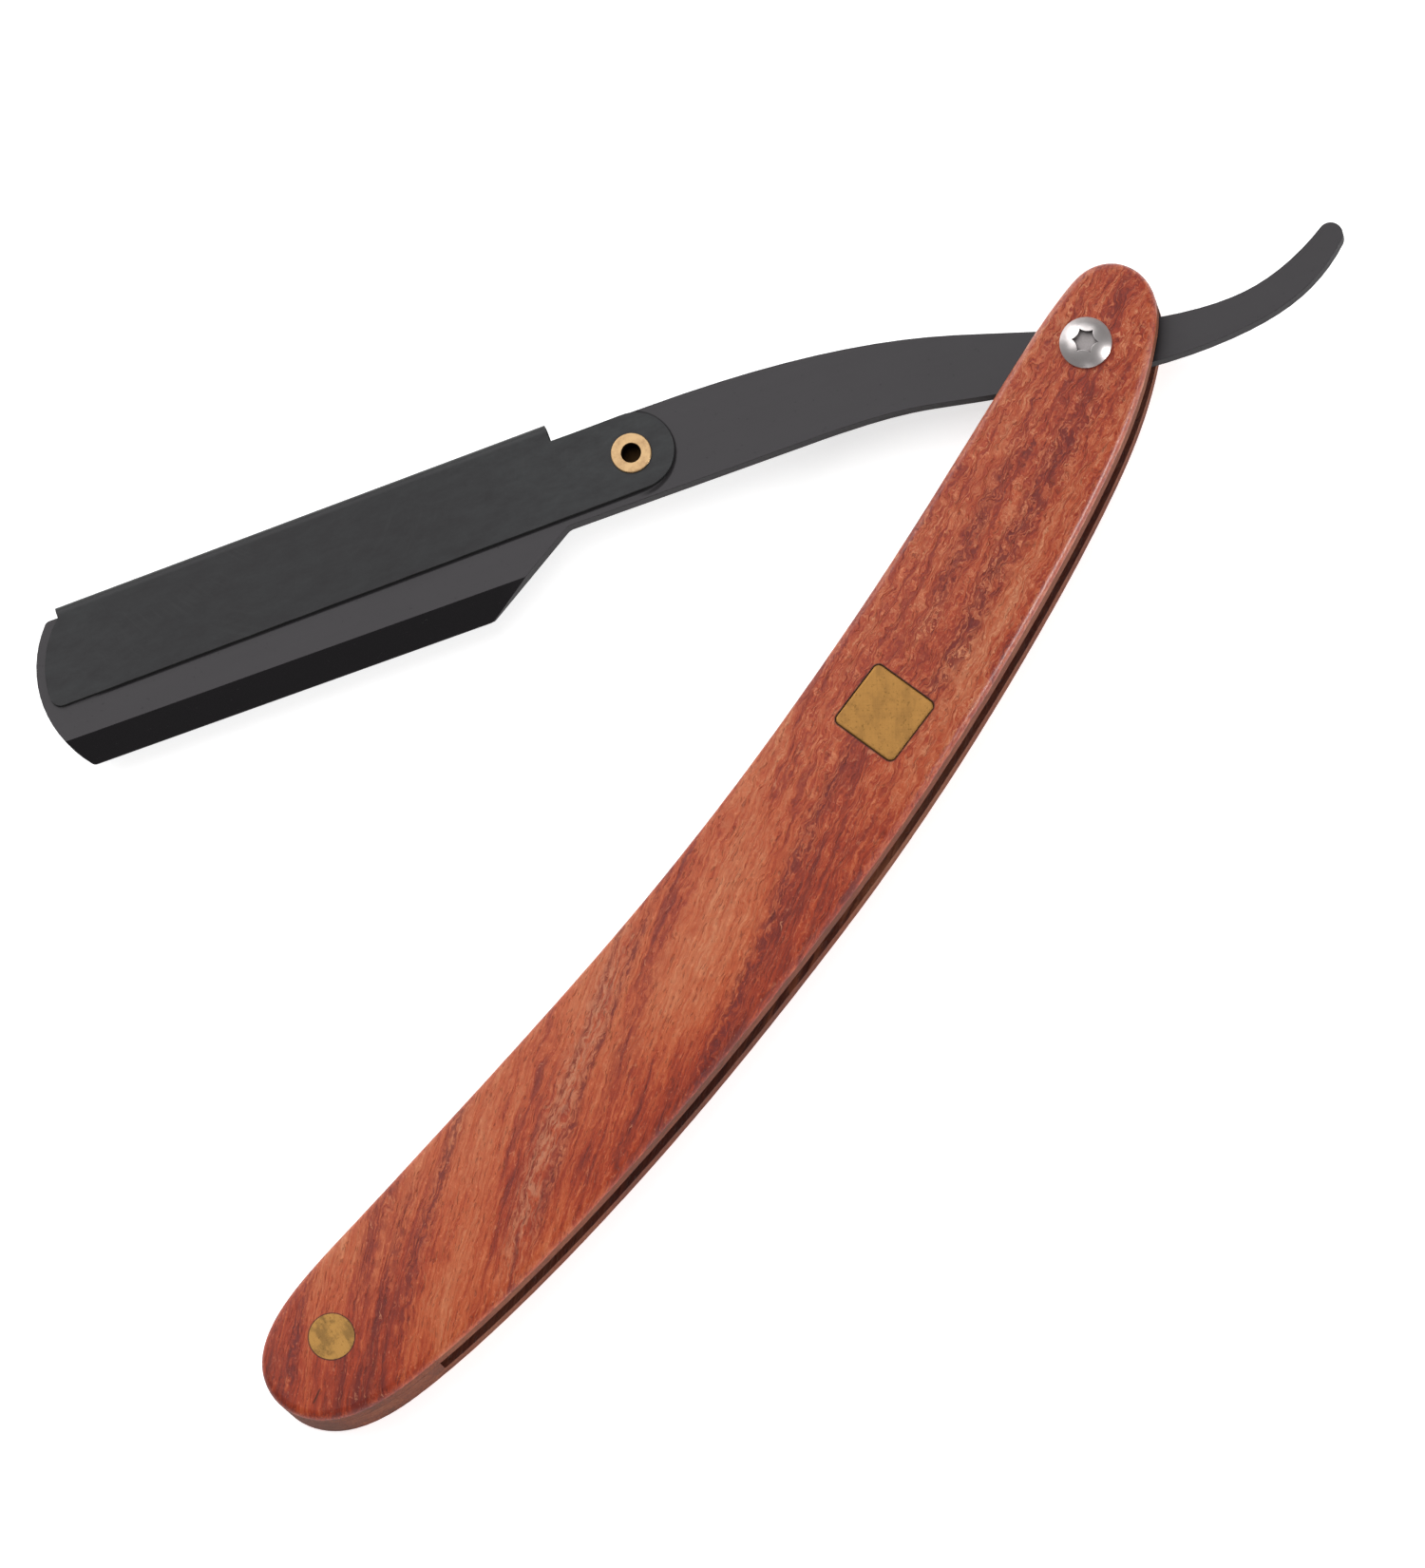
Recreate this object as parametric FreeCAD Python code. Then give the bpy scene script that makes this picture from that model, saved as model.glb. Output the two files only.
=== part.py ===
import FreeCAD, Part
import math
import os

# Folding straight razor with a swing-lock holder for half a double-edge blade. Millimetres.
#
# The razor lies on the outer face of its back scale. The origin is on the pivot axis in that face,
# +Z goes out through the front scale, +X from the pivot to the tail pin, and +Y to the handle's
# convex edge. The arm is drawn in a frame of its own: u from the pivot towards the blade's tip,
# v from the spine towards the cutting edge. The cover is drawn in a third one, centred on its rivet.

# ---- Handle ----
PIN_DISTANCE = 127.2        # pivot axis to tail pin axis
# Handle outline between its rounded ends: share of the pin distance, then y of the concave edge
CONCAVE_EDGE = [
    (0.024, -4.95), (0.118, -3.85), (0.236, -2.52), (0.354, -1.69), (0.472, -1.41),
    (0.59, -1.82), (0.708, -2.87), (0.826, -4.25), (0.92, -5.45),
]
# and of the convex edge
CONVEX_EDGE = [
    (0.904, 11.51), (0.786, 13.48), (0.668, 14.62), (0.55, 15.1), (0.432, 15.06),
    (0.314, 14.18), (0.197, 12.54), (0.094, 10.45), (0.016, 8.0),
]
# Rounded ends, from the convex edge to the concave one: x from the end's own pin, then y
HEAD_END = [(-4.5, 5.3), (-8.0, 2.8), (-9.2, -0.1), (-8.6, -2.75), (-6.5, -4.63), (-3.0, -5.18)]
TAIL_END = [
    (-2.2, 9.41), (3.8, 7.22), (7.6, 3.9), (8.6, -0.4), (6.8, -3.9), (3.3, -5.66), (-2.2, -6.12),
]
SCALE_THICKNESS = 3.05
SCALE_ROUND = 0.9           # radius along the outer edge of each scale
SPACER_REACH = 4.5          # from the tail pin towards the pivot

# ---- Stack between the scales ----
ARM_THICKNESS = 2.0
COVER_SHEET = 0.4
COVER_SLIP = 0.04           # between a leaf of the cover and the arm's face
RIVET_STAND = 0.2           # height of the rivet's rolled end over the front leaf
SIDE_CLEARANCE = 0.14       # between the folded-in holder and each scale

# ---- Arm ----
ARM_REST_ANGLE = -34.0      # from +X to the arm's own u axis, as drawn
SPINE_EDGE = -10.45         # v of the shank's and the plate's spine edge
SHANK_EDGE = -1.28          # v of the shank's lower edge beside the plate
CUTTING_EDGE = 5.2          # v of the plate's cutting edge
PLATE_START = 66.94         # u where the plate's shoulder reaches the cutting edge
SHOULDER_SLOPE = 31.7       # degrees, of the shoulder that runs from shank to plate
TIP_RADIUS = 11.65          # of the plate's round end
TIP_CENTRE_LEVEL = -2.6      # v of that end's centre
TIP_BACKSET = 7.84           # from the far end of the blade's length back to that centre
BEVEL_HEIGHT = 2.93         # of the plate's ground bevel
EDGE_THICKNESS = 0.35       # left at the bevel's foot
SPINE_STRAIGHT_END = 46.0   # u where the spine edge begins to curve down to the pivot
SHANK_STRAIGHT_END = 31.0   # u where the shank's lower edge begins to curve
TAIL_TIP_RADIUS = 1.3
TAIL_TIP_CENTRE = (-27.3, -3.1)

# ---- Half blade that the holder takes: half of a double-edge blade ----
BLADE_LENGTH = 43.0
BLADE_WIDTH = 11.0
BLADE_EXPOSURE = 1.3        # how far it stands out past the plate's edge
BLADE_SEAT_DEPTH = 0.14     # depth of the rebate on the plate's back face
BLADE_FIT = 0.1             # clearance from the blade to the rebate's ledges
BLADE_PIN_RADIUS = 0.75
BLADE_PIN_SPACING = 34.0
TIP_CENTRE = (PLATE_START + BLADE_LENGTH - TIP_BACKSET, TIP_CENTRE_LEVEL)    # u, v

# ---- Pivot ----
SCREW_RADIUS = 1.5
SCREW_HEAD_RADIUS = 2.7
SCREW_HEAD_HEIGHT = 1.35
SCREW_HEAD_RIM = 0.3        # height of the head's straight side, under its dome
LOBE_TIP_RADIUS = 1.4       # of the six-lobe recess
LOBE_ROOT_RADIUS = 1.0
LOBE_DEPTH = 0.8
SCREW_HOLE_CLEARANCE = 0.05
ARM_PIVOT_CLEARANCE = 0.04
PIVOT_SLIP = 0.03           # between a washer's face and the arm
WASHER_RADIUS = 3.1
NUT_FLANGE_RADIUS = 3.3
NUT_FLANGE_HEIGHT = 0.9
NUT_BARREL_RADIUS = 2.2
NUT_RECESS = 0.15           # depth of the nut's head below the back face
NUT_SLOT_WIDTH = 0.8
NUT_SLOT_DEPTH = 0.5

# ---- Tail pin and inlay ----
TAIL_PIN_RADIUS = 2.35
INLAY_SIDE = 7.6
INLAY_CORNER = 0.7
INLAY_DEPTH = 1.2
INLAY_CENTRE = (42.85, 6.55)
INLAY_EDGE_BREAK = 0.15

# ---- Blade cover and its rivet ----
RIVET_CENTRE = (47.8, -6.2)  # u, v
COVER_TILT = 0.8             # degrees, from the arm's u axis to the cover's spine
COVER_SPINE = 6.25           # rivet axis to the outside of the fold
COVER_FOOT = 3.95            # rivet axis to the leaves' lower edge
COVER_LUG_RADIUS = 4.2
COVER_LUG_OFFSET = 0.3       # lug's centre, behind the rivet axis
FOLD_START = 7.5             # rivet axis to the cut end of the fold
FOLD_ROUND = 0.95            # outer radius of the fold's two bends
COVER_SETBACK = 1.0          # from the plate's round end to the leaves' round end
COVER_TIP_ROUND = 1.1        # corner at the foot of the leaves' round end
RIVET_RADIUS = 1.45
RIVET_RING_RADIUS = 2.12
RIVET_BORE_RADIUS = 1.05
RIVET_BORE_DEPTH = 2.1
RIVET_HEAD_RADIUS = 2.2
RIVET_HEAD_HEIGHT = 0.36
RIVET_CLEARANCE = 0.04

# ---- Levels along Z, from the rest face up ----
BACK_INNER = SCALE_THICKNESS
COVER_BACK = BACK_INNER + SIDE_CLEARANCE
ARM_BACK = COVER_BACK + COVER_SHEET + COVER_SLIP
ARM_FRONT = ARM_BACK + ARM_THICKNESS
COVER_FRONT = ARM_FRONT + COVER_SLIP + COVER_SHEET
RING_TOP = COVER_FRONT + RIVET_STAND
FRONT_INNER = RING_TOP + SIDE_CLEARANCE
HANDLE_TOP = FRONT_INNER + SCALE_THICKNESS

PAST = 1.0                   # how far a cutting tool runs past what it cuts

Z_AXIS = FreeCAD.Vector(0, 0, 1)


def vector(x, y, z=0.0):
    return FreeCAD.Vector(x, y, z)


def cylinder(radius, low, high, x=0.0, y=0.0):
    return Part.makeCylinder(radius, high - low, vector(x, y, low))


def block(x0, x1, y0, y1, z0, z1):
    return Part.makeBox(x1 - x0, y1 - y0, z1 - z0, vector(x0, y0, z0))


def revolved(profile, x=0.0, y=0.0):
    """A solid turned about a vertical axis, from its (radius, height) corners."""
    corners = [vector(radius, 0, height) for radius, height in profile]
    face = Part.Face(Part.makePolygon(corners + corners[:1]))
    solid = face.revolve(vector(0, 0), Z_AXIS, 360)
    solid.translate(vector(x, y))
    return solid


def prism(edges, low, high):
    """An outline of edges in the XY plane, raised from one level to another."""
    face = Part.Face(Part.Wire(edges))
    solid = face.extrude(vector(0, 0, high - low))
    solid.translate(vector(0, 0, low))
    return solid


def spline(points, **options):
    curve = Part.BSplineCurve()
    curve.interpolate(Points=[vector(x, y) for x, y in points], **options)
    return curve.toShape()


def line(start, end):
    return Part.LineSegment(vector(*start), vector(*end)).toShape()


def arc(start, middle, end):
    return Part.Arc(vector(*start), vector(*middle), vector(*end)).toShape()


def round_corner(solid, x, y, radius):
    """Rounds the upright edge that stands at x, y."""
    upright = []
    for edge in solid.Edges:
        low, high = edge.Vertexes[0].Point, edge.Vertexes[-1].Point
        apart = max(math.hypot(end.x - x, end.y - y) for end in (low, high))
        if apart < 0.01 and abs(high.z - low.z) > 0.01:
            upright.append(edge)
    return solid.makeFillet(radius, upright)


def edges_at_level(solid, level):
    """The edges that lie in the plane z = level."""
    found = []
    for edge in solid.Edges:
        box = edge.BoundBox
        if abs(box.ZMin - level) < 1e-4 and abs(box.ZMax - level) < 1e-4:
            found.append(edge)
    return found


def to_handle_frame(solid):
    """From the arm's u, v frame to the handle's X, Y frame."""
    solid.rotate(vector(0, 0), Z_AXIS, ARM_REST_ANGLE)
    return solid


def to_arm_frame(solid):
    """From the cover's frame to the arm's u, v frame."""
    solid.rotate(vector(0, 0), Z_AXIS, COVER_TILT)
    solid.translate(vector(*RIVET_CENTRE))
    return solid


# ---- Handle ----
def handle_outline():
    """One smooth closed curve: concave edge, tail end, convex edge, head end."""
    points = [(share * PIN_DISTANCE, y) for share, y in CONCAVE_EDGE]
    points += [(PIN_DISTANCE + x, y) for x, y in reversed(TAIL_END)]
    points += [(share * PIN_DISTANCE, y) for share, y in CONVEX_EDGE]
    points += HEAD_END
    return [spline(points, PeriodicFlag=True)]


def inlay_block(low, high):
    half = INLAY_SIDE / 2
    x, y = INLAY_CENTRE
    solid = block(x - half, x + half, y - half, y + half, low, high)
    for side_x in (-half, half):
        for side_y in (-half, half):
            solid = round_corner(solid, x + side_x, y + side_y, INLAY_CORNER)
    return solid


def front_scale():
    solid = prism(handle_outline(), FRONT_INNER, HANDLE_TOP)
    solid = solid.makeFillet(SCALE_ROUND, edges_at_level(solid, HANDLE_TOP))
    low, high = FRONT_INNER - PAST, HANDLE_TOP + PAST
    solid = solid.cut(cylinder(SCREW_RADIUS + SCREW_HOLE_CLEARANCE, low, high))
    solid = solid.cut(cylinder(TAIL_PIN_RADIUS, low, high, PIN_DISTANCE))
    return solid.cut(inlay_block(HANDLE_TOP - INLAY_DEPTH, high))


def back_scale():
    solid = prism(handle_outline(), 0, BACK_INNER)
    solid = solid.makeFillet(SCALE_ROUND, edges_at_level(solid, 0))
    solid = solid.cut(cylinder(NUT_BARREL_RADIUS, -PAST, BACK_INNER + PAST))
    solid = solid.cut(cylinder(NUT_FLANGE_RADIUS, -PAST, NUT_RECESS + NUT_FLANGE_HEIGHT))
    return solid.cut(cylinder(TAIL_PIN_RADIUS, -PAST, BACK_INNER + PAST, PIN_DISTANCE))


def tail_spacer():
    whole = prism(handle_outline(), BACK_INNER, FRONT_INNER)
    start, wide = PIN_DISTANCE - SPACER_REACH, PIN_DISTANCE
    end_part = block(start, start + wide, -wide, wide, BACK_INNER, FRONT_INNER)
    solid = whole.common(end_part)
    return solid.cut(cylinder(TAIL_PIN_RADIUS, 0, HANDLE_TOP, PIN_DISTANCE))


def tail_pin():
    return cylinder(TAIL_PIN_RADIUS, 0, HANDLE_TOP, PIN_DISTANCE)


def square_inlay():
    solid = inlay_block(HANDLE_TOP - INLAY_DEPTH, HANDLE_TOP)
    return solid.makeChamfer(INLAY_EDGE_BREAK, edges_at_level(solid, HANDLE_TOP))


# ---- Pivot ----
def six_lobe_edges():
    """Six hollows of the recess's outline, which meet in six tips."""
    edges = []
    for lobe in range(6):
        start, middle, end = (math.radians(60 * lobe + turn) for turn in (0, 30, 60))
        edges.append(arc(
            (LOBE_TIP_RADIUS * math.cos(start), LOBE_TIP_RADIUS * math.sin(start)),
            (LOBE_ROOT_RADIUS * math.cos(middle), LOBE_ROOT_RADIUS * math.sin(middle)),
            (LOBE_TIP_RADIUS * math.cos(end), LOBE_TIP_RADIUS * math.sin(end)),
        ))
    return edges


def pivot_screw():
    """Button head on the front scale, and a shank down into the nut."""
    dome = SCREW_HEAD_HEIGHT - SCREW_HEAD_RIM
    ball = (SCREW_HEAD_RADIUS ** 2 + dome ** 2) / (2 * dome)
    top = HANDLE_TOP + SCREW_HEAD_HEIGHT
    head = cylinder(SCREW_HEAD_RADIUS, HANDLE_TOP, top)
    head = head.common(Part.makeSphere(ball, vector(0, 0, top - ball)))
    shank = cylinder(SCREW_RADIUS, NUT_RECESS + NUT_FLANGE_HEIGHT, HANDLE_TOP)
    recess = prism(six_lobe_edges(), top - LOBE_DEPTH, top + PAST)
    return head.fuse(shank).cut(recess).removeSplitter()


def pivot_nut():
    """Slotted nut let into the back scale, with a blind bore for the screw."""
    flange_top = NUT_RECESS + NUT_FLANGE_HEIGHT
    solid = cylinder(NUT_FLANGE_RADIUS, NUT_RECESS, flange_top)
    solid = solid.fuse(cylinder(NUT_BARREL_RADIUS, NUT_RECESS, BACK_INNER)).removeSplitter()
    solid = solid.cut(cylinder(SCREW_RADIUS, flange_top, BACK_INNER + PAST))
    width, reach = NUT_SLOT_WIDTH / 2, NUT_FLANGE_RADIUS + PAST
    slot_floor = NUT_RECESS + NUT_SLOT_DEPTH
    return solid.cut(block(-reach, reach, -width, width, 0, slot_floor))


def pivot_washer(low, high):
    solid = cylinder(WASHER_RADIUS, low, high)
    return solid.cut(cylinder(SCREW_RADIUS + SCREW_HOLE_CLEARANCE, low - PAST, high + PAST))


# ---- Arm ----
def arm_outline():
    """Closed outline in u, v: spine edge, tail, shank's lower edge, shoulder and blade plate."""
    centre_u, centre_v = TIP_CENTRE
    spine_tip = centre_u + math.sqrt(TIP_RADIUS ** 2 - (SPINE_EDGE - centre_v) ** 2)
    edge_tip = centre_u + math.sqrt(TIP_RADIUS ** 2 - (CUTTING_EDGE - centre_v) ** 2)
    shoulder_run = (CUTTING_EDGE - SHANK_EDGE) / math.tan(math.radians(SHOULDER_SLOPE))
    shoulder = (PLATE_START - shoulder_run, SHANK_EDGE)
    tail_u, tail_v = TAIL_TIP_CENTRE
    tail_end = []
    for turn in (-59, -143, 138):
        angle = math.radians(turn)
        tail_end.append((
            tail_u + TAIL_TIP_RADIUS * math.cos(angle),
            tail_v + TAIL_TIP_RADIUS * math.sin(angle),
        ))
    upper = [
        (SPINE_STRAIGHT_END, SPINE_EDGE),
        (36.0, -10.27),
        (24.0, -9.13),
        (15.0, -7.27),
        (5.0, -4.12),
        (-3.0, -1.9),
        (-8.0, -0.97),
        (-14.0, -0.37),
        (-18.0, -0.65),
        (-22.0, -1.8),
        tail_end[0],
    ]
    lower = [
        tail_end[2],
        (-26.0, -0.35),
        (-22.0, 1.75),
        (-17.0, 2.98),
        (-11.0, 3.42),
        (-4.0, 3.1),
        (3.0, 2.15),
        (13.0, 0.42),
        (19.0, -0.73),
        (25.0, -1.21),
        (SHANK_STRAIGHT_END, SHANK_EDGE),
    ]
    return [
        line((spine_tip, SPINE_EDGE), (SPINE_STRAIGHT_END, SPINE_EDGE)),
        spline(upper),
        arc(*tail_end),
        spline(lower),
        line((SHANK_STRAIGHT_END, SHANK_EDGE), shoulder),
        line(shoulder, (PLATE_START, CUTTING_EDGE)),
        line((PLATE_START, CUTTING_EDGE), (edge_tip, CUTTING_EDGE)),
        arc(
            (edge_tip, CUTTING_EDGE),
            (centre_u + TIP_RADIUS, centre_v),
            (spine_tip, SPINE_EDGE),
        ),
    ], shoulder, (edge_tip, CUTTING_EDGE), (spine_tip, SPINE_EDGE)


def bevel_waste():
    """What the grinding takes off the front of the plate, down to the cutting edge."""
    far = TIP_CENTRE[0] + TIP_RADIUS + PAST
    near = PLATE_START - BLADE_LENGTH / 4
    slope = (ARM_THICKNESS - EDGE_THICKNESS) / BEVEL_HEIGHT
    top = CUTTING_EDGE - BEVEL_HEIGHT
    section = [
        vector(near, top, ARM_FRONT),
        vector(near, top, ARM_FRONT + PAST),
        vector(near, CUTTING_EDGE + PAST, ARM_FRONT + PAST),
        vector(near, CUTTING_EDGE + PAST, ARM_FRONT - slope * (BEVEL_HEIGHT + PAST)),
    ]
    face = Part.Face(Part.makePolygon(section + section[:1]))
    return face.extrude(vector(far - near, 0, 0))


def blade_rear():
    """The v of the half blade's rear edge."""
    return CUTTING_EDGE + BLADE_EXPOSURE - BLADE_WIDTH


def blade_pin_places():
    middle = PLATE_START + BLADE_FIT + BLADE_LENGTH / 2
    half = BLADE_PIN_SPACING / 2
    return [(middle - half, blade_rear()), (middle + half, blade_rear())]


def razor_arm():
    """Tail, shank and blade plate in one piece, with the blade's seat sunk in the back face."""
    edges, shoulder, edge_tip, spine_tip = arm_outline()
    solid = prism(edges, ARM_BACK, ARM_FRONT)
    solid = round_corner(solid, *shoulder, 1.5)
    solid = round_corner(solid, PLATE_START, CUTTING_EDGE, 1.5)
    solid = round_corner(solid, *edge_tip, 0.7)
    solid = round_corner(solid, *spine_tip, 0.7)
    solid = solid.cut(bevel_waste())
    far = TIP_CENTRE[0] + TIP_RADIUS + PAST
    seat_start, seat_top = PLATE_START, blade_rear() - BLADE_FIT
    seat = block(
        seat_start, far, seat_top, CUTTING_EDGE + PAST, ARM_BACK - PAST, ARM_BACK + BLADE_SEAT_DEPTH
    )
    solid = solid.cut(seat)
    solid = solid.cut(cylinder(SCREW_RADIUS + ARM_PIVOT_CLEARANCE, 0, HANDLE_TOP))
    solid = solid.cut(cylinder(RIVET_RADIUS, 0, HANDLE_TOP, *RIVET_CENTRE))
    for u, v in blade_pin_places():
        solid = solid.cut(cylinder(BLADE_PIN_RADIUS, 0, HANDLE_TOP, u, v))
    return to_handle_frame(solid)


def blade_pins():
    """Two pins pressed through the plate, flush with both of its faces."""
    pins = [cylinder(BLADE_PIN_RADIUS, ARM_BACK, ARM_FRONT, u, v) for u, v in blade_pin_places()]
    return to_handle_frame(Part.makeCompound(pins))


# ---- Blade cover ----
def rounded_channel(spine, low, high, start, end, foot, radius):
    """A bar along the cover whose two spine corners are rounded."""
    solid = block(start, end, -spine, foot, low, high)
    corners = []
    for edge in solid.Edges:
        box = edge.BoundBox
        if box.XLength > end - start - PAST and abs(box.YMax + spine) < 1e-4:
            corners.append(edge)
    return solid.makeFillet(radius, corners)


def cover_tip():
    """The centre and radius of the leaves' round end, in the cover's own frame."""
    turn = math.radians(-COVER_TILT)
    u, v = TIP_CENTRE[0] - RIVET_CENTRE[0], TIP_CENTRE[1] - RIVET_CENTRE[1]
    x = u * math.cos(turn) - v * math.sin(turn)
    y = u * math.sin(turn) + v * math.cos(turn)
    return x, y, TIP_RADIUS - COVER_SETBACK


def cover_outline():
    """Side view of the cover, about its rivet: lug, notch, fold and round tip."""
    tip_x, tip_y, radius = cover_tip()
    foot_x = tip_x + math.sqrt(radius ** 2 - (COVER_FOOT - tip_y) ** 2)
    lug_top = -COVER_LUG_RADIUS
    # the fold is cut off square where the leaves' round end comes up to the plate's spine edge
    fold_level = SPINE_EDGE - RIVET_CENTRE[1] - tip_x * math.sin(math.radians(COVER_TILT))
    fold_x = tip_x + math.sqrt(radius ** 2 - (fold_level - tip_y) ** 2)
    lug = -COVER_LUG_OFFSET
    return [
        line((lug, lug_top), (FOLD_START, lug_top)),
        line((FOLD_START, lug_top), (FOLD_START, -COVER_SPINE)),
        line((FOLD_START, -COVER_SPINE), (fold_x, -COVER_SPINE)),
        line((fold_x, -COVER_SPINE), (fold_x, fold_level)),
        arc((fold_x, fold_level), (tip_x + radius, tip_y), (foot_x, COVER_FOOT)),
        line((foot_x, COVER_FOOT), (lug, COVER_FOOT)),
        arc((lug, COVER_FOOT), (lug - COVER_LUG_RADIUS, 0), (lug, lug_top)),
    ], (foot_x, COVER_FOOT)


def rivet_head_profile(clearance):
    """Countersunk head at the back leaf, and the shank up to the arm's front face."""
    cone_top = COVER_BACK + RIVET_HEAD_HEIGHT
    return [
        (0, COVER_BACK),
        (RIVET_HEAD_RADIUS + clearance, COVER_BACK),
        (RIVET_RADIUS + clearance, cone_top),
        (RIVET_RADIUS + clearance, ARM_FRONT),
        (0, ARM_FRONT),
    ]


def blade_cover():
    """Sheet folded round the plate's spine: two leaves that share one lug shape at the rivet."""
    edges, foot = cover_outline()
    side = prism(edges, COVER_BACK, COVER_FRONT)
    side = round_corner(side, *foot, COVER_TIP_ROUND)
    reach = TIP_CENTRE[0]
    outer = rounded_channel(
        COVER_SPINE, COVER_BACK, COVER_FRONT, -reach, reach, COVER_FOOT + PAST, FOLD_ROUND
    )
    inner = rounded_channel(
        COVER_SPINE - COVER_SHEET,
        COVER_BACK + COVER_SHEET,
        COVER_FRONT - COVER_SHEET,
        -reach - PAST,
        reach + PAST,
        COVER_FOOT + 2 * PAST,
        FOLD_ROUND - COVER_SHEET,
    )
    solid = side.common(outer).cut(inner)
    solid = solid.cut(revolved(rivet_head_profile(RIVET_CLEARANCE)))
    front_hole = cylinder(RIVET_RADIUS + RIVET_CLEARANCE, ARM_FRONT, COVER_FRONT + PAST)
    solid = solid.cut(front_hole)
    return to_handle_frame(to_arm_frame(solid))


def cover_rivet():
    """Semi-tubular rivet: countersunk head at the back, rolled end with a blind bore in front."""
    solid = revolved(rivet_head_profile(0))
    solid = solid.fuse(cylinder(RIVET_RADIUS, ARM_FRONT, COVER_FRONT + RIVET_CLEARANCE / 2))
    ring_low = COVER_FRONT + RIVET_CLEARANCE / 2
    ring = cylinder(RIVET_RING_RADIUS, ring_low, RING_TOP)
    ring = ring.makeFillet(0.6 * (RING_TOP - ring_low), edges_at_level(ring, RING_TOP))
    solid = solid.fuse(ring).removeSplitter()
    bore = cylinder(RIVET_BORE_RADIUS, RING_TOP - RIVET_BORE_DEPTH, RING_TOP + PAST)
    solid = solid.cut(bore)
    return to_handle_frame(to_arm_frame(solid))


NODES = {
    "front_scale": front_scale,
    "back_scale": back_scale,
    "tail_spacer": tail_spacer,
    "tail_pin": tail_pin,
    "square_inlay": square_inlay,
    "pivot_screw": pivot_screw,
    "pivot_nut": pivot_nut,
    "front_washer": lambda: pivot_washer(ARM_FRONT + PIVOT_SLIP, FRONT_INNER),
    "back_washer": lambda: pivot_washer(BACK_INNER, ARM_BACK - PIVOT_SLIP),
    "razor_arm": razor_arm,
    "blade_pins": blade_pins,
    "blade_cover": blade_cover,
    "cover_rivet": cover_rivet,
}

os.makedirs("parts", exist_ok=True)
for name, make in NODES.items():
    shape = make()
    shape.exportStep(f"parts/{name}.step")
    print(name, shape.isValid(), len(shape.Solids), round(shape.Volume, 2))
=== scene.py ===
"""Looks of the folding straight razor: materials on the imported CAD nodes, light, floor and camera.

Lengths inside the materials are millimetres in the razor's own frame: X from the pivot to the
tail pin, Y towards the handle's convex edge, Z out through the front scale.
"""

import math

import bpy
from mathutils import Matrix, Vector


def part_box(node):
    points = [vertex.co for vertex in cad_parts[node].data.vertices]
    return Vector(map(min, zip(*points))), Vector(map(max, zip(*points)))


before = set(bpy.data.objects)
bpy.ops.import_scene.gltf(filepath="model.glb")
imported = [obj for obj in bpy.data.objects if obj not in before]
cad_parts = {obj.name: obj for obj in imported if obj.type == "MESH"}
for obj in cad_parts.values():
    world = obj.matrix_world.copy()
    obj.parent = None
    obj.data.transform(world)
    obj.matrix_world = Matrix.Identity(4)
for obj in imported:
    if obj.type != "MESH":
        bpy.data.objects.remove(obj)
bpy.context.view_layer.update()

METRE = 1000.0               # millimetres
ARM_ANGLE = -34.0            # degrees, from +X to the open arm's own u axis
CENTRE_SAG = 5.75            # rise of the handle's middle line between its pins
CENTRE_OFFSET = 1.15
COVER_TILT = 0.8             # degrees, from the arm's u axis to the cover's spine
COVER_FOOT = 3.95            # rivet axis to the leaves' lower edge
HALF_WIDTH = 8.0             # of the handle's face
CROWN = 0.55                 # fall of the face from its middle line to its edges


def middle(node):
    """Centre of a CAD node's box, in millimetres."""
    low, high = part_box(node)
    return (Vector(low) + Vector(high)) * METRE / 2


def top(node):
    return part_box(node)[1].z * METRE


def half_size(node):
    """Half of a CAD node's extent along X, in millimetres."""
    low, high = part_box(node)
    return (high.x - low.x) * METRE / 2


PIN_DISTANCE = middle("tail_pin").x


# ---------------------------------------------------------------- shader graphs


def srgb(red, green, blue):
    """A colour given as 0 to 255 display values."""
    def linear(value):
        value /= 255.0
        return value / 12.92 if value <= 0.04045 else ((value + 0.055) / 1.055) ** 2.4
    return linear(red), linear(green), linear(blue), 1.0


class Field:
    """A number at each point of a surface: a shader node's output that can be reckoned with."""

    def __init__(self, graph, socket):
        self.graph = graph
        self.socket = socket

    def with_(self, operation, *others):
        return self.graph.math(operation, self, *others)

    def __add__(self, other):
        return self.with_("ADD", other)

    def __mul__(self, other):
        return self.with_("MULTIPLY", other)

    __radd__ = __add__
    __rmul__ = __mul__

    def __sub__(self, other):
        return self.with_("SUBTRACT", other)

    def __rsub__(self, other):
        return self.graph.math("SUBTRACT", other, self)

    def __truediv__(self, other):
        return self.with_("DIVIDE", other)

    def __abs__(self):
        return self.with_("ABSOLUTE")

    def most(self, other):
        return self.with_("MAXIMUM", other)

    def least(self, other):
        return self.with_("MINIMUM", other)

    def rise(self, start, end):
        """0 before start, 1 after end, smooth between; end may lie below start."""
        node = self.graph.node("ShaderNodeMapRange")
        node.interpolation_type = "SMOOTHSTEP"
        self.graph.put(node.inputs["Value"], self)
        node.inputs["From Min"].default_value = min(start, end)
        node.inputs["From Max"].default_value = max(start, end)
        node.inputs["To Min"].default_value = 0.0 if end > start else 1.0
        node.inputs["To Max"].default_value = 1.0 if end > start else 0.0
        return Field(self.graph, node.outputs["Result"])

    def near(self, value, reach):
        """1 at a value, fading to 0 at that reach from it."""
        return abs(self - value).rise(reach, 0.0)

    def between(self, low, high, fade):
        return self.rise(low - fade, low + fade) * self.rise(high + fade, high - fade)


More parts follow.
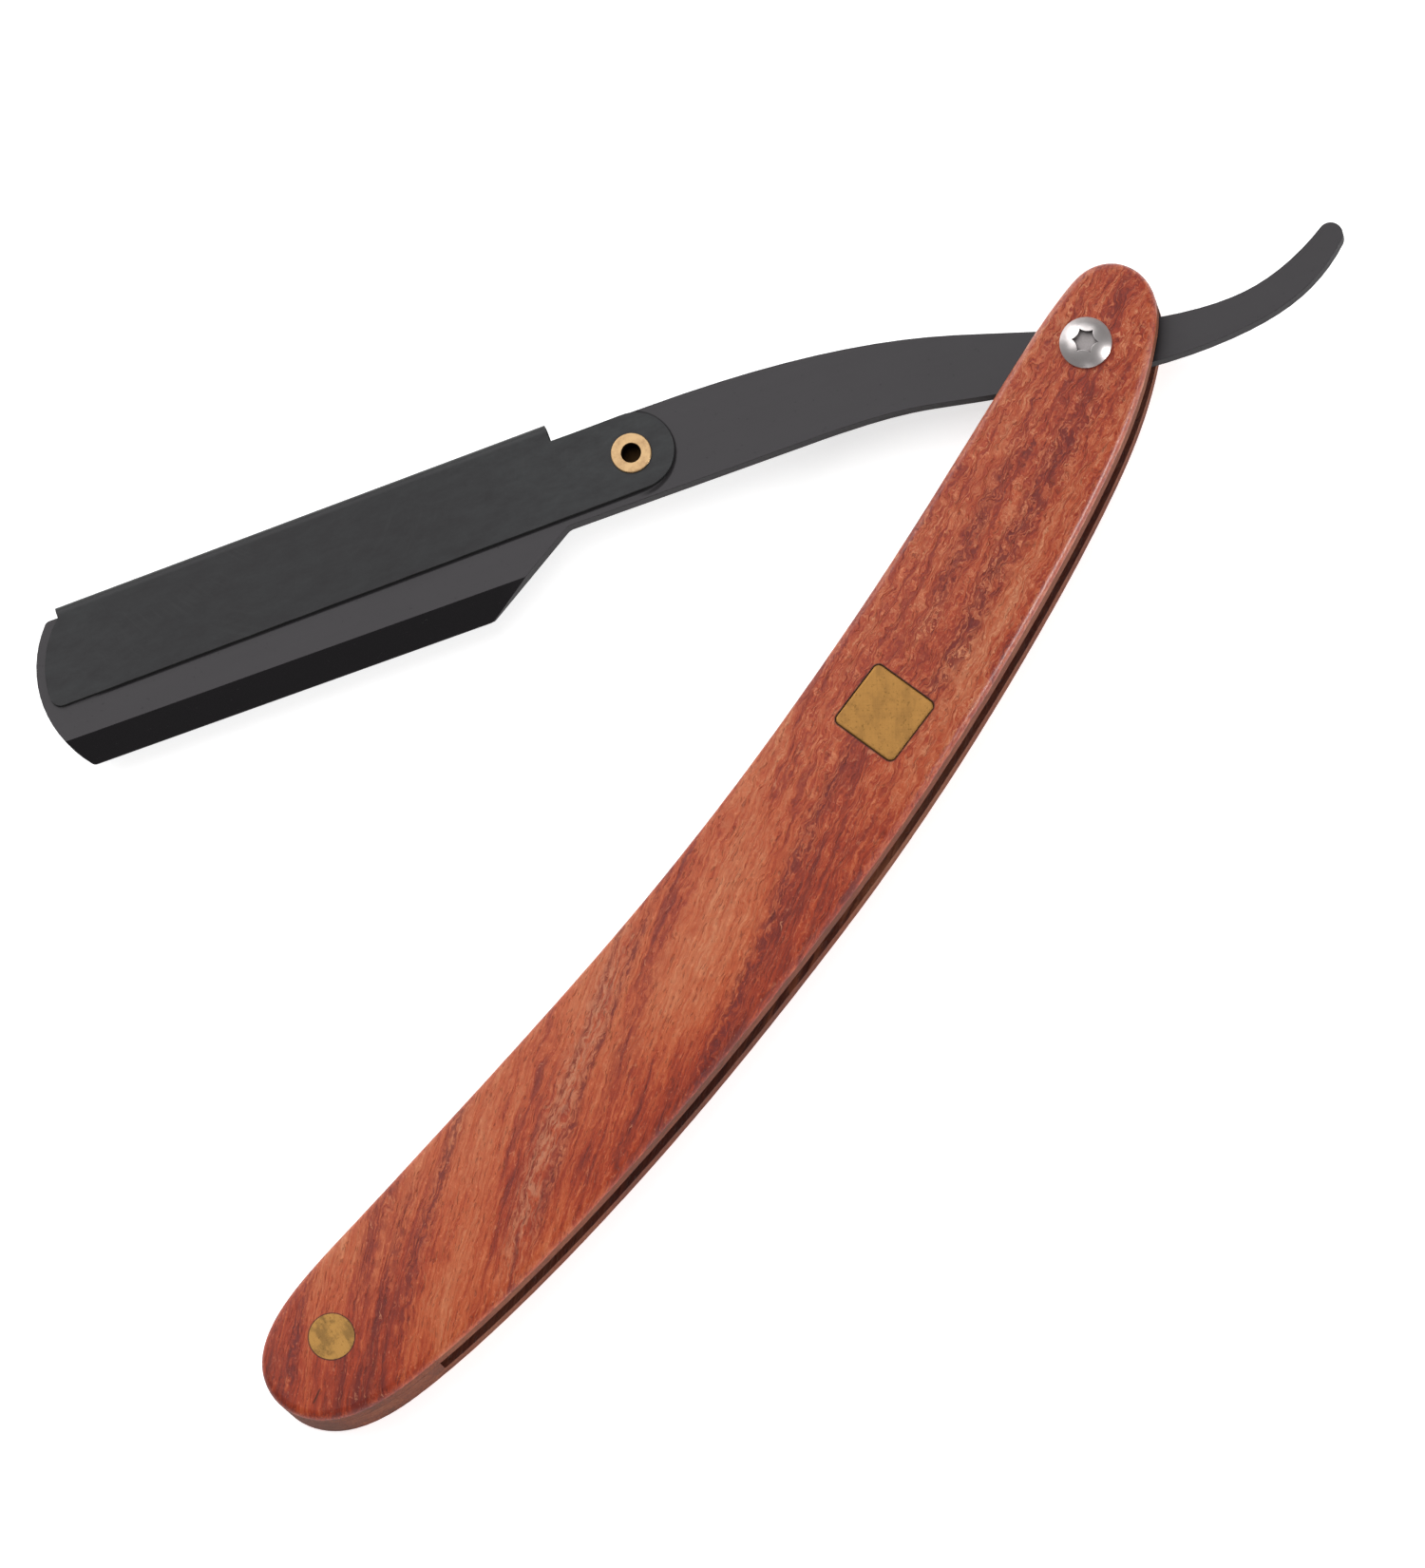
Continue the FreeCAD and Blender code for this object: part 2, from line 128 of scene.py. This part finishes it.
class Graph:
    """One material's nodes. x, y and z are millimetres in the frame at rest."""

    def __init__(self, name):
        self.material = bpy.data.materials.new(name)
        self.material.use_nodes = True
        self.tree = self.material.node_tree
        self.shader = self.tree.nodes["Principled BSDF"]
        place = self.node("ShaderNodeTexCoord")
        split = self.node("ShaderNodeSeparateXYZ")
        self.tree.links.new(place.outputs["Object"], split.inputs[0])
        self.x, self.y, self.z = (Field(self, out) * METRE for out in split.outputs)
        normal = self.node("ShaderNodeSeparateXYZ")
        self.tree.links.new(place.outputs["Normal"], normal.inputs[0])
        self.flat = abs(Field(self, normal.outputs[2]))     # 1 on level faces, 0 on walls

    def node(self, kind):
        return self.tree.nodes.new(kind)

    def put(self, socket, value):
        if isinstance(value, Field):
            self.tree.links.new(value.socket, socket)
        elif isinstance(value, bpy.types.NodeSocket):
            self.tree.links.new(value, socket)
        else:
            socket.default_value = value

    def math(self, operation, *values):
        node = self.node("ShaderNodeMath")
        node.operation = operation
        for socket, value in zip(node.inputs, values):
            self.put(socket, value)
        return Field(self, node.outputs[0])

    def turned(self, degrees, centre=(0.0, 0.0)):
        """x and y in a frame turned about Z, with its origin at centre."""
        cosine = math.cos(math.radians(degrees))
        sine = math.sin(math.radians(degrees))
        x, y = self.x - centre[0], self.y - centre[1]
        return x * cosine + y * sine, y * cosine - x * sine

    def from_centre(self, centre):
        x, y = self.x - centre[0], self.y - centre[1]
        return self.math("SQRT", x * x + y * y)

    def noise(self, place, sizes, detail, roughness=0.55):
        """Smooth noise about 0.5, whose features have these sizes along the place's directions."""
        join = self.node("ShaderNodeCombineXYZ")
        for socket, value, size in zip(join.inputs, place, sizes):
            self.put(socket, value * (1.0 / size))
        noise = self.node("ShaderNodeTexNoise")
        self.tree.links.new(join.outputs[0], noise.inputs["Vector"])
        noise.inputs["Scale"].default_value = 1.0
        noise.inputs["Detail"].default_value = detail
        noise.inputs["Roughness"].default_value = roughness
        return Field(self, noise.outputs[0])

    def mix(self, factor, first, second):
        """The first colour where the factor is 0, the second where it is 1."""
        node = self.node("ShaderNodeMix")
        node.data_type = "RGBA"
        node.clamp_factor = True
        self.put(node.inputs[0], factor)
        self.put(node.inputs[6], first)
        self.put(node.inputs[7], second)
        return node.outputs[2]

    def scaled(self, colour, factor):
        """A colour made brighter or darker by a field about 1."""
        node = self.node("ShaderNodeVectorMath")
        node.operation = "SCALE"
        self.put(node.inputs[0], colour[:3] if isinstance(colour, tuple) else colour)
        self.put(node.inputs["Scale"], factor)
        return node.outputs[0]

    def ramp(self, factor, stops):
        node = self.node("ShaderNodeValToRGB")
        elements = node.color_ramp.elements
        while len(elements) < len(stops):
            elements.new(0.5)
        for element, (position, colour) in zip(elements, stops):
            element.position = position
            element.color = colour
        self.put(node.inputs[0], factor)
        return node.outputs[0]

    def relief(self, height, round_edge=0.0):
        """Bump by a height in millimetres, over edges that look rounded by that radius."""
        bump = self.node("ShaderNodeBump")
        bump.inputs["Strength"].default_value = 1.0
        bump.inputs["Distance"].default_value = 1.0 / METRE
        self.put(bump.inputs["Height"], height)
        if round_edge:
            bevel = self.node("ShaderNodeBevel")
            bevel.samples = 6
            bevel.inputs["Radius"].default_value = round_edge / METRE
            self.tree.links.new(bevel.outputs[0], bump.inputs["Normal"])
        self.tree.links.new(bump.outputs[0], self.shader.inputs["Normal"])

    def edge(self, radius):
        """1 on sharp edges of the shape, 0 on its faces."""
        bevel = self.node("ShaderNodeBevel")
        bevel.samples = 6
        bevel.inputs["Radius"].default_value = radius / METRE
        plain = self.node("ShaderNodeNewGeometry")
        dot = self.node("ShaderNodeVectorMath")
        dot.operation = "DOT_PRODUCT"
        self.tree.links.new(bevel.outputs[0], dot.inputs[0])
        self.tree.links.new(plain.outputs["Normal"], dot.inputs[1])
        return Field(self, dot.outputs["Value"]).rise(0.99, 0.85)

    def finish(self, colour, roughness, metallic=0.0, specular=0.5):
        self.put(self.shader.inputs["Base Color"], colour)
        self.put(self.shader.inputs["Roughness"], roughness)
        self.shader.inputs["Metallic"].default_value = metallic
        self.shader.inputs["Specular IOR Level"].default_value = specular
        return self.material


# ---------------------------------------------------------------- wood

GRAIN_SLOPE = 0.14           # rise of a grain line per mm at the head
GRAIN_BEND = 7.3e-6          # its growth towards the tail, per mm cubed
CALM_GRAIN_X = 80.0          # x where the grain begins to curl, on the way to the head
CURLED_GRAIN_X = 25.0        # x from which it curls fully
# (from x, to x, grain line, half width, strength): the dark veins that cross the front scale
VEINS = [
    (-8.0, 2.0, 0.9, 0.7, 0.6),
    (4.0, 42.0, 3.2, 1.3, 0.8),
    (12.0, 34.0, -0.6, 1.0, 0.7),
    (44.0, 92.0, -1.6, 0.9, 0.8),
    (70.0, 92.0, -10.8, 0.8, 0.35),
    (72.0, 106.0, -13.4, 0.5, 0.8),
    (74.0, 108.0, -15.6, 0.4, 0.6),
    (99.0, 122.0, -25.1, 0.8, 0.8),
    (111.0, 126.0, -27.6, 0.8, 0.6),
    (106.0, 123.0, -30.2, 1.3, 0.5),
    (124.0, 137.0, -37.0, 0.7, 0.85),
]
PALE_BAND = (78.0, 110.0, -15.0, 1.7)    # from x, to x, grain line, half width
WOOD_TONES = [
    (0.22, srgb(110, 36, 22)),
    (0.38, srgb(146, 51, 24)),
    (0.50, srgb(166, 75, 40)),
    (0.62, srgb(174, 93, 58)),
    (0.80, srgb(186, 119, 83)),
]
MIDDLE_TONE = 0.505          # place on that ramp where the tones are centred
VEIN_COLOUR = srgb(92, 28, 26)
RUDDY_COLOUR = srgb(126, 42, 34)
PALE_COLOUR = srgb(172, 112, 84)
PORE_COLOUR = srgb(84, 30, 20)
# painted highlights: pale flecks and ridges in the ripple
FLECK_HIGHLIGHT_COLOUR = srgb(214, 150, 112)
# painted shade on the wood's walls
WALL_SHADE_COLOUR = srgb(84, 54, 39)
# painted shade inside the slot, and a painted patch of light on its inner face
SLOT_SHADE_COLOUR = srgb(52, 26, 18)
SLOT_LIGHT_COLOUR = srgb(122, 71, 47)
GRIME_COLOUR = srgb(42, 20, 14)

# Dark hairline round the pin and the inlay: from the brass, to where it begins and has faded
HAIRLINE_START = 0.03
HAIRLINE_END = 0.17
INLAY_CORNER = 0.7           # radius of the inlay's corners
CRACK_PLACE = (132.9, 2.5)   # x, y of the short crack beside the tail pin
CRACK_ANGLE = 13.0           # degrees from +X
CRACK_HALF_LENGTH = 0.8


class Grain:
    """Noise fields along one board's grain. board shifts them, so that no two boards match."""

    def __init__(self, g, board):
        x = g.x
        depth = g.z + board
        across = g.y - x * GRAIN_SLOPE - x * x * x * GRAIN_BEND
        self.restless = x.rise(CALM_GRAIN_X, CURLED_GRAIN_X)
        sway = g.noise((x, across, depth), (26.0, 7.0, 9.0), 2.0)
        curl = g.noise((x, across, depth), (2.4, 1.5, 2.5), 3.0, 0.6)
        # the grain line that a point lies on, in mm across the board
        self.wavy = across + (sway - 0.5) * 2.6 + (curl - 0.5) * (self.restless * 1.4 + 0.8)
        line = (x, self.wavy, depth)
        curled = (x, self.wavy + (curl - 0.5) * 1.5, depth)
        self.broad = g.noise(line, (40.0, 4.6, 6.0), 3.0, 0.55)
        self.streak = g.noise(line, (7.5, 0.95, 1.6), 3.0, 0.6)
        self.fibre = g.noise(line, (5.0, 0.28, 0.5), 3.0, 0.6)
        self.hair = g.noise(line, (2.2, 0.13, 0.3), 2.0, 0.6)
        self.squiggle = g.noise(curled, (1.4, 0.30, 0.5), 2.0, 0.55)
        self.grit = g.noise(line, (0.42, 0.22, 0.3), 2.0, 0.6)
        self.pores = g.noise(line, (0.9, 0.16, 0.3), 1.0, 0.5).rise(0.64, 0.72)


def across_face(g):
    """Place across the handle's face: -1 at the concave edge, 0 in the middle, 1 at the convex."""
    half_span = PIN_DISTANCE / 2
    lengthwise = (g.x - half_span) / half_span
    middle_line = (1.0 - lengthwise * lengthwise) * CENTRE_SAG + CENTRE_OFFSET
    return (g.y - middle_line) / HALF_WIDTH


def wood_tone(g, grain, side):
    """Place on the ramp of wood tones: fine variation by the grain, broad shifts by the place, with
    painted light on the concave side and painted shade on the convex side.
    """
    x, restless = g.x, grain.restless
    tone = (grain.broad - 0.5) * 0.8 + (grain.streak - 0.5) * (restless * 0.14 + 0.32)
    tone = tone + (grain.fibre - 0.5) * 0.38 + (grain.hair - 0.5) * (restless * 0.55 + 0.22)
    tone = tone + (grain.squiggle - 0.5) * (restless * 0.25 + 0.25)
    convex_painted_shade = side.most(0.0) * x.between(58.0, 100.0, 12.0)
    concave_painted_light = side.least(0.0) * -1.0
    # painted light and shade: the concave side is paler, as a soft sheen, and the convex side darker
    tone = tone + concave_painted_light * 0.05 - convex_painted_shade * 0.17 - x.rise(118.0, 134.0) * 0.18
    tone = tone - x.near(112.0, 18.0) * side.near(0.0, 0.8) * 0.09
    tone = tone + x.near(84.0, 14.0) * side.near(0.1, 0.6) * 0.07 - x.rise(45.0, 10.0) * 0.01
    return tone + MIDDLE_TONE


def face_colour(g, grain, side, veins, pale):
    """Colour of a board's face: tones, pale band, dark veins, painted highlight flecks and ridges,
    and pores.
    """
    x, wavy, squiggle, streak = g.x, grain.wavy, grain.squiggle, grain.streak
    restless = grain.restless
    colour = g.ramp(wood_tone(g, grain, side), WOOD_TONES)
    if pale:
        start, end, grain_line, reach = pale
        band = wavy.near(grain_line, reach * 1.4) * x.between(start, end, 7.0)
        colour = g.mix(band * (squiggle.rise(0.40, 0.62) * 0.7 + 0.05), colour, PALE_COLOUR)
    ruddy = g.scaled(RUDDY_COLOUR, grain.hair * 0.5 + 0.75)
    colour = g.mix(restless * 0.20, colour, ruddy)
    dark = grain.broad.rise(0.50, 0.38) * streak.rise(0.50, 0.38) * (0.5 - restless * 0.2)
    for start, end, grain_line, reach, strength in veins:
        here = wavy.near(grain_line, reach * 1.6) * x.between(start, end, 6.0)
        dark = dark.most(here * (squiggle.rise(0.58, 0.42) * 0.75 + 0.2) * strength)
    colour = g.mix(dark, colour, VEIN_COLOUR)
    # painted highlights: pale flecks in the dark ripple and thin lines along its ridges
    fleck_highlight = squiggle.rise(0.62, 0.72) * (dark * 0.6 + 0.1)
    colour = g.mix(fleck_highlight.most(grain.grit.rise(0.62, 0.74) * 0.2), colour, FLECK_HIGHLIGHT_COLOUR)
    ridge_highlight = squiggle.near(0.57, 0.035) * streak.rise(0.42, 0.60) * (restless * 0.35 + 0.08)
    colour = g.mix(ridge_highlight, colour, FLECK_HIGHLIGHT_COLOUR)
    colour = g.mix(grain.pores * 0.4, colour, PORE_COLOUR)
    return g.scaled(colour, grain.fibre * 0.35 + grain.grit * 0.4 + 0.59)


def wood(name, board, inner_face, veins=(), pale=None, marks=None):
    """Oiled orange-brown hardwood, with painted shade on its walls and in the slot and a painted
    patch of light on the slot's inner face. inner_face is the level of the face inside the slot.
    """
    g = Graph(name)
    grain = Grain(g, board)
    side = across_face(g)
    colour = face_colour(g, grain, side, veins, pale)

    fibres = grain.fibre * 0.9 + 0.55        # shade of the plainer walls and inside faces
    # painted shade: the walls take a darker colour, darker still towards the floor
    wall = g.flat.rise(0.32, 0.05)
    low = g.z.rise(2.4, 0.3)
    colour = g.mix(wall * 0.75, colour, g.scaled(WALL_SHADE_COLOUR, fibres * (1.0 - low * 0.5)))
    # painted shade on the faces inside the slot, with a painted patch of light where light comes
    # through the gap
    inside = g.z.near(inner_face, 0.12)
    lit = g.x.between(52.0, 80.0, 6.0) * grain.streak.rise(0.40, 0.66) * 0.8
    slot_shade_and_light = g.mix(lit, g.scaled(SLOT_SHADE_COLOUR, fibres), SLOT_LIGHT_COLOUR)
    colour = g.mix(inside * 0.85, colour, slot_shade_and_light)
    if marks:
        colour = g.mix(marks(g), colour, GRIME_COLOUR)

    crown = side * side * -CROWN
    raised = grain.squiggle * 0.05 + grain.grit * 0.035 + grain.fibre * 0.03 + grain.hair * 0.03
    raised = raised * (grain.restless * 0.5 + 0.8) + grain.streak * 0.05
    g.relief(crown + raised - grain.pores * 0.04)
    rubbed = g.flat.rise(0.99, 0.90) * g.flat.rise(0.05, 0.30)      # on rounded edges only
    worn = g.x.rise(52.0, 28.0) * 0.85 + 0.15
    g.put(g.shader.inputs["Coat Weight"], rubbed * worn * (grain.grit * 0.8 + 0.2))
    g.shader.inputs["Coat Roughness"].default_value = 0.28
    return g.finish(colour, grain.fibre * 0.15 + wall * 0.45 + 0.38, specular=0.24)


def front_marks(g):
    """Dark hairlines round the tail pin and the inlay, and a short crack near the tail."""
    radius = half_size("tail_pin")
    from_pin = g.from_centre(middle("tail_pin"))
    pin_line = from_pin.rise(radius + HAIRLINE_END, radius + HAIRLINE_START)
    inlay = middle("square_inlay")
    straight = half_size("square_inlay") - INLAY_CORNER
    over_x = (abs(g.x - inlay.x) - straight).most(0.0)
    over_y = (abs(g.y - inlay.y) - straight).most(0.0)
    away = g.math("SQRT", over_x * over_x + over_y * over_y)
    inlay_line = away.rise(INLAY_CORNER + HAIRLINE_END, INLAY_CORNER + HAIRLINE_START)
    along, off = g.turned(CRACK_ANGLE, CRACK_PLACE)
    crack = along.between(-CRACK_HALF_LENGTH, CRACK_HALF_LENGTH, 0.2) * off.near(0.0, 0.16)
    return pin_line.most(inlay_line).most(crack) * 0.85


# ---------------------------------------------------------------- metals


LUG_REACH = 4.3              # rivet axis to just past the cover's rounded lug
SWIRL_CENTRE = (84.0, -16.0)    # u, v that the cover's scuffs curve about
BARE_STEEL = srgb(92, 90, 90)
SCUFF_GREY = srgb(86, 88, 86)
# painted shade on the arm's bevel
BEVEL_SHADE_BLACK = srgb(3, 2, 3)
# painted shadow beside the cover's leaf, and specks of grime
SHADOW_AND_DIRT_BLACK = srgb(8, 7, 8)


def coated_steel(name, colour, roughness, specular, extra):
    """Dark coating on steel, in the arm's own u, v. extra adds what only one piece shows."""
    g = Graph(name)
    u, v = g.turned(ARM_ANGLE)
    grain = g.noise((u, v, g.z), (0.25, 0.25, 0.25), 2.0)
    cloud = g.noise((u, v, g.z), (9.0, 4.0, 4.0), 4.0, 0.6)
    rub = g.noise((u, v, g.z), (14.0, 0.5, 2.0), 3.0, 0.6)
    edge = g.edge(0.15)
    wall = g.flat.rise(0.5, 0.1)
    shade = g.scaled(colour, cloud * 0.5 + 0.75)
    shade = g.mix(edge * cloud.rise(0.4, 0.7) * 0.35, shade, BARE_STEEL)
    gloss = (cloud - 0.5) * 0.10 + (rub - 0.5) * 0.06 + (grain - 0.5) * 0.04
    gloss = gloss + wall * 0.4 + roughness
    height = grain * 0.002 + cloud * 0.004
    shade, gloss, height = extra(g, u, v, shade, gloss, height)
    g.relief(height, 0.10)
    g.shader.inputs["Specular Tint"].default_value = (1.0, 0.96, 1.0, 1.0)
    return g.finish(shade, gloss, specular=specular)


def arm_marks(g, u, v, shade, gloss, height):
    """Painted shadow as a black line where the cover's front leaf lies on the arm and round its lug,
    grime specks, and painted shade that blackens the bevel.
    """
    rivet = middle("cover_rivet")
    along, off = g.turned(ARM_ANGLE + COVER_TILT, rivet)
    # painted shadow: a black line along the leaf's lower edge and round its lug
    foot = off.between(COVER_FOOT - 0.1, COVER_FOOT + 0.26, 0.08) * along.between(-0.5, 60.0, 1.0)
    lug = g.from_centre(rivet).between(LUG_REACH, LUG_REACH + 0.35, 0.08) * along.rise(1.0, -1.0)
    speck = g.noise((u, v, g.z), (0.5, 0.3, 0.5), 1.0).rise(0.72, 0.78)
    shadow_and_dirt = foot.most(lug).most(speck * 0.5)
    # painted shade: the bevel is coloured near-black
    bevel = g.flat.rise(0.9995, 0.995) * u.rise(60.0, 66.0)
    shade = g.mix(bevel * 0.9, shade, BEVEL_SHADE_BLACK)
    return g.mix(shadow_and_dirt * 0.9, shade, SHADOW_AND_DIRT_BLACK), gloss + shadow_and_dirt * 0.35 - bevel * 0.13, height


def cover_marks(g, u, v, shade, gloss, height):
    """Mottling and faint curved scuffs that the coating keeps from its polishing."""
    from_u, from_v = u - SWIRL_CENTRE[0], v - SWIRL_CENTRE[1]
    turn = g.math("SQRT", from_u * from_u + from_v * from_v)
    rings = g.noise((turn, u, v), (0.45, 30.0, 30.0), 2.0)
    patch = g.noise((u, v, g.z), (11.0, 5.0, 9.0), 2.0).rise(0.5, 0.7)
    scuff = rings.rise(0.45, 0.7) * patch
    ends = u.rise(75.0, 48.0) * 0.7 + u.rise(98.0, 112.0) * 0.3
    shade = g.scaled(shade, ends + 0.85)
    mottle = g.noise((u, v, g.z), (3.2, 1.6, 3.0), 4.0, 0.65)
    shade = g.scaled(shade, mottle * 2.6 - 0.3)
    gloss = gloss + (mottle - 0.5) * 0.16 + scuff * 0.04
    height = height + mottle * 0.012 + scuff * 0.0008
    return g.mix(scuff * 0.06, shade, SCUFF_GREY), gloss, height


def brass(name, direction, colour, tarnish_colour, centre=(0.0, 0.0), dull=0.5, round_edge=0.08):
    """Filed brass: fine scratches along one direction, pits, and tarnish of strength dull."""
    g = Graph(name)
    along, off = g.turned(direction, centre)
    scratch = g.noise((along, off, g.z), (3.5, 0.07, 0.3), 3.0, 0.65)
    second = g.noise((off, along, g.z), (2.6, 0.12, 0.3), 2.0, 0.6)
    cloud = g.noise((along, off, g.z), (2.2, 1.5, 2.0), 4.0, 0.65)
    pits = g.noise((g.x, g.y, g.z), (0.26, 0.26, 0.26), 2.0).rise(0.60, 0.70)
    tint = g.mix(cloud.rise(0.45, 0.62) * dull, colour, tarnish_colour)
    tint = g.scaled(tint, scratch * 0.35 + second * 0.15 - pits * 0.3 + 0.76)
    g.relief(scratch * 0.006 + second * 0.003 - pits * 0.004, round_edge)
    return g.finish(tint, cloud * 0.2 + scratch * 0.1 + 0.36, metallic=1.0)


def rivet_brass():
    """Rolled-over brass ring, with painted shade in its bore."""
    g = Graph("rivet_brass")
    rivet = middle("cover_rivet")
    radius = g.from_centre(rivet)
    turned_marks = g.noise((radius, g.z, g.z), (0.07, 0.3, 0.3), 2.0)
    cloud = g.noise((g.x, g.y, g.z), (0.9, 0.9, 0.9), 4.0, 0.65)
    tint = g.mix(cloud.rise(0.4, 0.7) * 0.5, srgb(164, 136, 100), srgb(124, 96, 70))
    # painted shade: the bore darkens with depth
    bore_shade = g.z.rise(top("cover_rivet") - 0.15, top("cover_rivet") - 0.9) * radius.rise(1.2, 1.06)
    tint = g.mix(bore_shade, tint, srgb(30, 20, 10))
    g.relief(turned_marks * 0.01 + cloud * 0.01, 0.08)
    return g.finish(tint, cloud * 0.25 + 0.22, metallic=1.0)


def screw_steel():
    """Stainless steel, softly polished, with fine handling marks and painted shade in its recess."""
    g = Graph("screw_steel")
    cloud = g.noise((g.x, g.y, g.z), (1.3, 1.3, 1.3), 4.0, 0.6)
    fine = g.noise((g.x, g.y, g.z), (0.12, 0.12, 0.12), 2.0)
    along, off = g.turned(60.0)
    scratch = g.noise((along, off, g.z), (1.6, 0.06, 0.2), 2.0).rise(0.62, 0.75)
    radius = g.from_centre((0.0, 0.0))
    recess = g.z.rise(top("pivot_screw") - 0.3, top("pivot_screw") - 0.75) * radius.rise(1.6, 1.3)
    tint = g.mix(cloud.rise(0.45, 0.7) * 0.35, srgb(196, 190, 189), srgb(158, 153, 154))
    tint = g.mix(recess * 0.8, tint, g.scaled(srgb(124, 119, 119), fine * 0.8 + 0.6))
    # painted shade: darkest on the recess's walls and next to them
    shaded = (g.flat.rise(0.9, 0.5) * 0.7).most(radius.rise(0.75, 1.15) * 0.55)
    tint = g.mix(recess * shaded, tint, srgb(48, 45, 45))
    g.relief(cloud * 0.006 - scratch * 0.0008, 0.06)
    return g.finish(tint, cloud * 0.12 + fine * 0.03 + recess * 0.3 + 0.25, metallic=1.0)


def pin_steel():
    """Plain steel of the pins that hold the half blade."""
    g = Graph("blade_pin_steel")
    fine = g.noise((g.x, g.y, g.z), (0.3, 0.3, 0.1), 3.0)
    tint = g.scaled(srgb(150, 148, 146), fine * 0.4 + 0.8)
    g.relief(fine * 0.004)
    return g.finish(tint, fine * 0.2 + 0.3, metallic=1.0)


def dress(nodes, material):
    for name in nodes:
        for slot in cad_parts[name].material_slots:
            slot.material = material


front_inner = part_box("front_scale")[0].z * METRE
back_inner = top("back_scale")
dress(["front_scale"], wood("wood_front", 0.0, front_inner, VEINS, PALE_BAND, front_marks))
dress(["back_scale"], wood("wood_back", 40.0, back_inner))
dress(["tail_spacer"], wood("wood_spacer", 85.0, front_inner))
dress(["square_inlay"], brass(
    "brass_inlay", 38.0, srgb(147, 108, 59), srgb(120, 88, 52),
    centre=middle("square_inlay"), dull=0.3, round_edge=0.3,
))
dress(["tail_pin"], brass(
    "brass_pin", 70.0, srgb(156, 118, 66), srgb(104, 80, 50), centre=middle("tail_pin"), dull=0.6,
))
dress(["front_washer", "back_washer"], brass(
    "brass_washer", 10.0, srgb(190, 152, 84), srgb(150, 120, 72),
))
dress(["cover_rivet"], rivet_brass())
dress(["pivot_screw", "pivot_nut"], screw_steel())
dress(["blade_pins"], pin_steel())
dress(["razor_arm"], coated_steel("coating_arm", srgb(15, 13, 15), 0.37, 0.43, arm_marks))
dress(["blade_cover"], coated_steel("coating_cover", srgb(24, 26, 26), 0.44, 0.27, cover_marks))


# ---------------------------------------------------------------- stage, light and camera

AIM = Vector((0.0587, -0.0042, 0.005))
CAMERA_DISTANCE = 1.068
CAMERA_TILT = 13.5           # degrees from straight above
CAMERA_AZIMUTH = 68.4        # degrees, of the side the camera stands on
UP_AZIMUTH = 217.4           # degrees, of the picture's upper side on the table
FOCAL_LENGTH = 160.0         # millimetres, on a sensor 24 high
SENSOR = 24.0
FLOOR_HALF = 3.0             # metres
FLOOR_DROP = 0.0002          # metres, below the rest face
FLOOR_GREY = 0.75
FLOOR_GLOW = 0.62            # the floor's own light, which keeps shadows faint
WORLD_STRENGTH = 0.34
WHITE = (1.0, 1.0, 1.0, 1.0)
# name, tilt and azimuth in degrees, distance, width and height in metres, watts
SOFTBOXES = [
    ("key", 36.0, 250.0, 1.5, 2.0, 2.0, 24.0),
    ("wall", 70.0, 265.0, 1.7, 3.4, 1.2, 16.0),
    ("rim", 68.0, 112.0, 1.2, 0.45, 0.3, 8.0),
    ("low_rim", 78.0, 50.0, 1.3, 0.9, 0.2, 1.5),
]


def direction(tilt, azimuth):
    """Unit vector that leans from straight up by tilt, towards an azimuth from +X."""
    tilt, azimuth = math.radians(tilt), math.radians(azimuth)
    level = math.sin(tilt)
    return Vector((level * math.cos(azimuth), level * math.sin(azimuth), math.cos(tilt)))


def facing(place, towards, up):
    """Placement whose -Z looks from place towards a point."""
    back = (place - towards).normalized()
    right = up.cross(back).normalized()
    turn = Matrix((right, back.cross(right), back)).transposed().to_4x4()
    return Matrix.Translation(place) @ turn


def add_camera():
    lens = bpy.data.cameras.new("camera")
    lens.lens = FOCAL_LENGTH
    lens.sensor_fit = "VERTICAL"
    lens.sensor_height = SENSOR
    lens.sensor_width = SENSOR
    lens.clip_start = 0.01
    camera = bpy.data.objects.new("camera", lens)
    place = AIM + direction(CAMERA_TILT, CAMERA_AZIMUTH) * CAMERA_DISTANCE
    camera.matrix_world = facing(place, AIM, direction(90.0, UP_AZIMUTH))
    bpy.context.scene.collection.objects.link(camera)
    bpy.context.scene.camera = camera


def add_softbox(name, tilt, azimuth, distance, width, height, watts):
    light = bpy.data.lights.new(name, "AREA")
    light.shape = "RECTANGLE"
    light.size = width
    light.size_y = height
    light.energy = watts
    box = bpy.data.objects.new(name, light)
    place = AIM + direction(tilt, azimuth) * distance
    box.matrix_world = facing(place, AIM, direction(90.0, UP_AZIMUTH))
    bpy.context.scene.collection.objects.link(box)


def add_floor():
    half = FLOOR_HALF
    corners = [(-half, -half, 0), (half, -half, 0), (half, half, 0), (-half, half, 0)]
    mesh = bpy.data.meshes.new("floor")
    mesh.from_pydata(corners, [], [(0, 1, 2, 3)])
    floor = bpy.data.objects.new("floor", mesh)
    floor.location.z = -FLOOR_DROP
    material = bpy.data.materials.new("floor_white")
    material.use_nodes = True
    shader = material.node_tree.nodes["Principled BSDF"]
    shader.inputs["Base Color"].default_value = (FLOOR_GREY, FLOOR_GREY, FLOOR_GREY, 1.0)
    shader.inputs["Roughness"].default_value = 0.9
    shader.inputs["Specular IOR Level"].default_value = 0.1
    shader.inputs["Emission Color"].default_value = WHITE
    shader.inputs["Emission Strength"].default_value = FLOOR_GLOW
    mesh.materials.append(material)
    bpy.context.scene.collection.objects.link(floor)


def add_world():
    world = bpy.data.worlds.new("studio")
    world.use_nodes = True
    back = world.node_tree.nodes["Background"]
    back.inputs["Color"].default_value = WHITE
    back.inputs["Strength"].default_value = WORLD_STRENGTH
    bpy.context.scene.world = world


add_camera()
add_floor()
add_world()
for softbox in SOFTBOXES:
    add_softbox(*softbox)
bpy.context.scene.view_settings.view_transform = "Standard"
